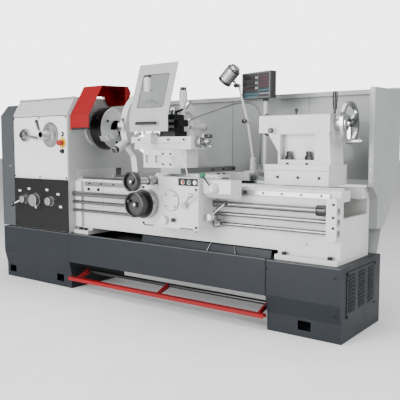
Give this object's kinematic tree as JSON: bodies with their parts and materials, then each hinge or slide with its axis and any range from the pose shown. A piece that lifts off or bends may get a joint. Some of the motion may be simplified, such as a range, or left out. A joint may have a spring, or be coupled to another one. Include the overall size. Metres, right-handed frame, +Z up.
{
  "type": "engine lathe",
  "caption": "Floor-standing engine lathe with geared headstock, chuck and guard, carriage, steady rest, tailstock, readout, lamp and splash guard on a sheet-steel stand.",
  "frame": {"origin": "on the floor, at the centre of the rectangle of floor anchor bolts", "axes": "+X along the bed from the headstock to the tailstock, +Y away from the operator towards the splash guard, +Z up"},
  "size_m": [2.887, 1.1674, 1.5792],
  "materials": {
    "cast_white": "off-white enamel on castings, satin",
    "sheet_light": "light grey powder coat on sheet metal",
    "cover_grey": "mid grey paint",
    "base_dark": "dark blue-grey gloss paint",
    "panel_dark": "black-grey paint",
    "panel_white": "white face plate",
    "guard_red": "red gloss paint",
    "tread_red": "red paint on tread plate",
    "steel_bright": "turned and ground steel",
    "steel_dark": "blackened steel",
    "iron": "machined cast iron",
    "chrome": "polished plate",
    "aluminium": "finned and turned",
    "bakelite": "black phenolic",
    "red_plastic": "red button plastic",
    "white_plastic": "white button plastic",
    "black_plastic": "black button plastic",
    "housing_grey": "textured grey housing",
    "hose": "flexible metal hose",
    "cable": "pale sheathed cable",
    "shield_grey": "light grey frame"
  },
  "bodies": {
    "frame": {"left_cabinet": "base_dark", "right_cabinet": "base_dark", "louvre_cover": "base_dark", "front_panel": "base_dark", "bed": "cast_white", "end_bracket": "cast_white", "feed_gearbox": "panel_dark", "headstock": "sheet_light", "headstock_lid": "sheet_light", "control_panel": "panel_white", "electric_cabinet": "sheet_light", "splash_guard": "sheet_light", "frame_screws": "steel_bright"},
    "gear_cover": {"end_cover": "cover_grey"},
    "tray": {"chip_tray": "base_dark"},
    "brake": {"foot_brake": "tread_red"},
    "leadscrew": {"leadscrew": "steel_bright"},
    "feed_rod": {"feed_rod": "steel_bright"},
    "control_rod": {"control_rod": "steel_bright"},
    "knob_left": {"feed_knob_left": "aluminium"},
    "knob_middle": {"feed_knob_middle": "aluminium"},
    "knob_right": {"feed_knob_right": "aluminium"},
    "range_lever": {"range_lever": "chrome"},
    "speed_dial": {"speed_dial": "aluminium"},
    "stop_button": {"emergency_stop": "red_plastic"},
    "jog_button": {"jog_button": "white_plastic"},
    "reset_button": {"reset_button": "black_plastic"},
    "spindle": {"spindle": "steel_bright", "chuck_body": "steel_dark"},
    "jaw_1": {"chuck_jaw_1": "steel_bright"},
    "jaw_2": {"chuck_jaw_2": "steel_bright"},
    "jaw_3": {"chuck_jaw_3": "steel_bright"},
    "chuck_guard": {"chuck_guard": "guard_red"},
    "steady": {"steady_base": "cast_white"},
    "steady_top": {"steady_top": "cast_white"},
    "carriage": {"saddle": "cast_white", "apron": "cast_white", "follow_rest": "cast_white", "rear_bracket": "cast_white", "coolant_hose": "hose", "button_cable": "cable"},
    "carriage_wheel": {"carriage_handwheel": "chrome"},
    "cross_wheel": {"cross_handwheel": "chrome"},
    "half_nut": {"half_nut_lever": "bakelite"},
    "joystick": {"joystick": "bakelite"},
    "start_lever": {"start_lever": "bakelite"},
    "cross_slide": {"cross_slide": "iron", "compound_base": "cast_white"},
    "swivel": {"swivel_slide": "cast_white"},
    "top_slide": {"top_slide": "cast_white"},
    "crank": {"compound_crank": "chrome"},
    "tool_post": {"tool_post": "steel_dark"},
    "chip_shield": {"chip_shield": "shield_grey"},
    "lamp_arm": {"lamp_arm": "cast_white"},
    "lamp_head": {"lamp_head": "aluminium"},
    "readout": {"readout": "housing_grey"},
    "tailstock": {"tailstock": "cast_white"},
    "quill": {"quill": "steel_bright"},
    "tail_wheel": {"tailstock_handwheel": "cast_white"},
    "clamp_lever": {"clamp_lever": "bakelite"}
  },
  "joints": [
    {"name": "gear_cover_hinge", "type": "hinge", "parent": "frame", "child": "gear_cover", "pos_m": [-1.2915, 0.343, 0.9], "axis": [0, 0, 1], "range_deg": [-90, 0]},
    {"name": "chip_tray_slide", "type": "slide", "parent": "frame", "child": "tray", "axis": [0, 1, 0], "range_m": [0, 0.28]},
    {"name": "brake_pedal", "type": "hinge", "parent": "frame", "child": "brake", "pos_m": [0.16, -0.15, 0.12], "axis": [1, 0, 0], "range_deg": [0, 8], "stiffness_Nm_per_rad": 120, "springref_deg": -14.32},
    {"name": "leadscrew_spin", "type": "hinge", "parent": "frame", "child": "leadscrew", "pos_m": [0, -0.226, 0.695], "axis": [1, 0, 0], "continuous": true},
    {"name": "feed_rod_spin", "type": "hinge", "parent": "frame", "child": "feed_rod", "pos_m": [0, -0.226, 0.637], "axis": [1, 0, 0], "continuous": true},
    {"name": "control_rod_turn", "type": "hinge", "parent": "frame", "child": "control_rod", "pos_m": [0, -0.226, 0.577], "axis": [1, 0, 0], "range_deg": [0, 14]},
    {"name": "feed_knob_left_turn", "type": "hinge", "parent": "frame", "child": "knob_left", "pos_m": [-1.145, -0.29, 0.633], "axis": [0, 1, 0], "range_deg": [-60, 60]},
    {"name": "feed_knob_middle_turn", "type": "hinge", "parent": "frame", "child": "knob_middle", "pos_m": [-1.016, -0.29, 0.633], "axis": [0, 1, 0], "range_deg": [-60, 60]},
    {"name": "feed_knob_right_turn", "type": "hinge", "parent": "frame", "child": "knob_right", "pos_m": [-0.842, -0.29, 0.633], "axis": [0, 1, 0], "range_deg": [-60, 60]},
    {"name": "range_lever_turn", "type": "hinge", "parent": "frame", "child": "range_lever", "pos_m": [-1.129, -0.29, 1.119], "axis": [0, 1, 0], "range_deg": [-30, 30]},
    {"name": "speed_dial_turn", "type": "hinge", "parent": "frame", "child": "speed_dial", "pos_m": [-0.851, -0.29, 1.119], "axis": [0, 1, 0], "range_deg": [-60, 60]},
    {"name": "stop_button_press", "type": "slide", "parent": "frame", "child": "stop_button", "axis": [0, 1, 0], "range_m": [0, 0.006], "stiffness_N_per_m": 900, "springref_m": -0.004},
    {"name": "jog_button_press", "type": "slide", "parent": "frame", "child": "jog_button", "axis": [0, 1, 0], "range_m": [0, 0.005], "stiffness_N_per_m": 500, "springref_m": -0.003},
    {"name": "reset_button_press", "type": "slide", "parent": "frame", "child": "reset_button", "axis": [0, 1, 0], "range_m": [0, 0.005], "stiffness_N_per_m": 500, "springref_m": -0.003},
    {"name": "spindle_spin", "type": "hinge", "parent": "frame", "child": "spindle", "pos_m": [-0.8, 0.006, 1.165], "axis": [1, 0, 0], "continuous": true},
    {"name": "jaw_1_slide", "type": "slide", "parent": "spindle", "child": "jaw_1", "axis": [0, 0, 1], "range_m": [-0.02, 0.03]},
    {"name": "jaw_2_slide", "type": "slide", "parent": "spindle", "child": "jaw_2", "axis": [0, -0.866, -0.5], "range_m": [-0.02, 0.03]},
    {"name": "jaw_3_slide", "type": "slide", "parent": "spindle", "child": "jaw_3", "axis": [0, 0.866, -0.5], "range_m": [-0.02, 0.03]},
    {"name": "chuck_guard_hinge", "type": "hinge", "parent": "frame", "child": "chuck_guard", "pos_m": [-0.6, 0.141, 1.417], "axis": [1, 0, 0], "range_deg": [-90, 0]},
    {"name": "steady_slide", "type": "slide", "parent": "frame", "child": "steady", "axis": [1, 0, 0], "range_m": [-0.15, 0]},
    {"name": "steady_hinge", "type": "hinge", "parent": "steady", "child": "steady_top", "pos_m": [-0.145, 0.26, 1.165], "axis": [1, 0, 0], "range_deg": [-60, 0]},
    {"name": "carriage_slide", "type": "slide", "parent": "frame", "child": "carriage", "axis": [1, 0, 0], "range_m": [-0.04, 0.2]},
    {"name": "carriage_handwheel_turn", "type": "hinge", "parent": "carriage", "child": "carriage_wheel", "pos_m": [0.2, -0.45, 0.685], "axis": [0, 1, 0], "range_deg": [-575, 2879]},
    {"name": "cross_handwheel_turn", "type": "hinge", "parent": "carriage", "child": "cross_wheel", "pos_m": [0.25, -0.45, 0.83], "axis": [0, 1, 0], "range_deg": [0, 4321]},
    {"name": "cross_slide_feed", "type": "slide", "parent": "carriage", "child": "cross_slide", "axis": [0, 1, 0], "range_m": [0, 0.06]},
    {"name": "half_nut_turn", "type": "hinge", "parent": "carriage", "child": "half_nut", "pos_m": [0.498, -0.39, 0.689], "axis": [0, 1, 0], "range_deg": [-30, 15]},
    {"name": "joystick_turn", "type": "hinge", "parent": "carriage", "child": "joystick", "pos_m": [0.673, -0.34, 0.792], "axis": [0, 1, 0], "range_deg": [0, 20]},
    {"name": "start_lever_turn", "type": "hinge", "parent": "carriage", "child": "start_lever", "pos_m": [0.625, -0.226, 0.577], "axis": [1, 0, 0], "range_deg": [0, 14]},
    {"name": "compound_swivel", "type": "hinge", "parent": "cross_slide", "child": "swivel", "pos_m": [0.242, -0.216, 1.016], "axis": [0, 0, 1], "range_deg": [-30, 30]},
    {"name": "top_slide_feed", "type": "slide", "parent": "swivel", "child": "top_slide", "axis": [1, 0, 0], "range_m": [0, 0.06]},
    {"name": "compound_crank_turn", "type": "hinge", "parent": "top_slide", "child": "crank", "pos_m": [0.48, -0.216, 1.064], "axis": [-1, 0, 0], "range_deg": [-4321, 0]},
    {"name": "tool_post_turn", "type": "hinge", "parent": "top_slide", "child": "tool_post", "pos_m": [0.266, -0.216, 1.15], "axis": [0, 0, 1], "range_deg": [0, 90]},
    {"name": "chip_shield_hinge", "type": "hinge", "parent": "top_slide", "child": "chip_shield", "pos_m": [0.164, -0.329, 1.112], "axis": [1, 0, 0], "range_deg": [0, 75]},
    {"name": "lamp_swivel", "type": "hinge", "parent": "carriage", "child": "lamp_arm", "pos_m": [0.574, 0.24, 0.9], "axis": [0, 0, 1], "range_deg": [0, 25]},
    {"name": "lamp_tilt", "type": "hinge", "parent": "lamp_arm", "child": "lamp_head", "pos_m": [0.457, 0.24, 1.4375], "axis": [0, 1, 0], "range_deg": [-15, 20]},
    {"name": "readout_swivel", "type": "hinge", "parent": "carriage", "child": "readout", "pos_m": [0.62, 0.314, 1.34], "axis": [0, 0, 1], "range_deg": [-20, 0]},
    {"name": "tailstock_slide", "type": "slide", "parent": "frame", "child": "tailstock", "axis": [1, 0, 0], "range_m": [-0.24, 0]},
    {"name": "tailstock_handwheel_turn", "type": "hinge", "parent": "tailstock", "child": "tail_wheel", "pos_m": [1.3, 0.006, 1.165], "axis": [-1, 0, 0], "range_deg": [0, 7200]},
    {"name": "quill_feed", "type": "slide", "parent": "tailstock", "child": "quill", "axis": [-1, 0, 0], "range_m": [0, 0.1]},
    {"name": "clamp_lever_turn", "type": "hinge", "parent": "tailstock", "child": "clamp_lever", "pos_m": [1.19, 0.12, 1.145], "axis": [0, 1, 0], "range_deg": [-35, 20]}
  ],
  "couplings": [
    {"joint": "carriage_slide", "follows": "carriage_handwheel_turn", "m_per_rad": 0.0039789},
    {"joint": "cross_handwheel_turn", "follows": "cross_slide_feed", "rad_per_m": 1256.6},
    {"joint": "compound_crank_turn", "follows": "top_slide_feed", "rad_per_m": -1256.6},
    {"joint": "quill_feed", "follows": "tailstock_handwheel_turn", "m_per_rad": 0.00079577},
    {"joint": "jaw_2_slide", "follows": "jaw_1_slide", "ratio": 1},
    {"joint": "jaw_3_slide", "follows": "jaw_1_slide", "ratio": 1},
    {"joint": "start_lever_turn", "follows": "control_rod_turn", "ratio": 1}
  ]
}
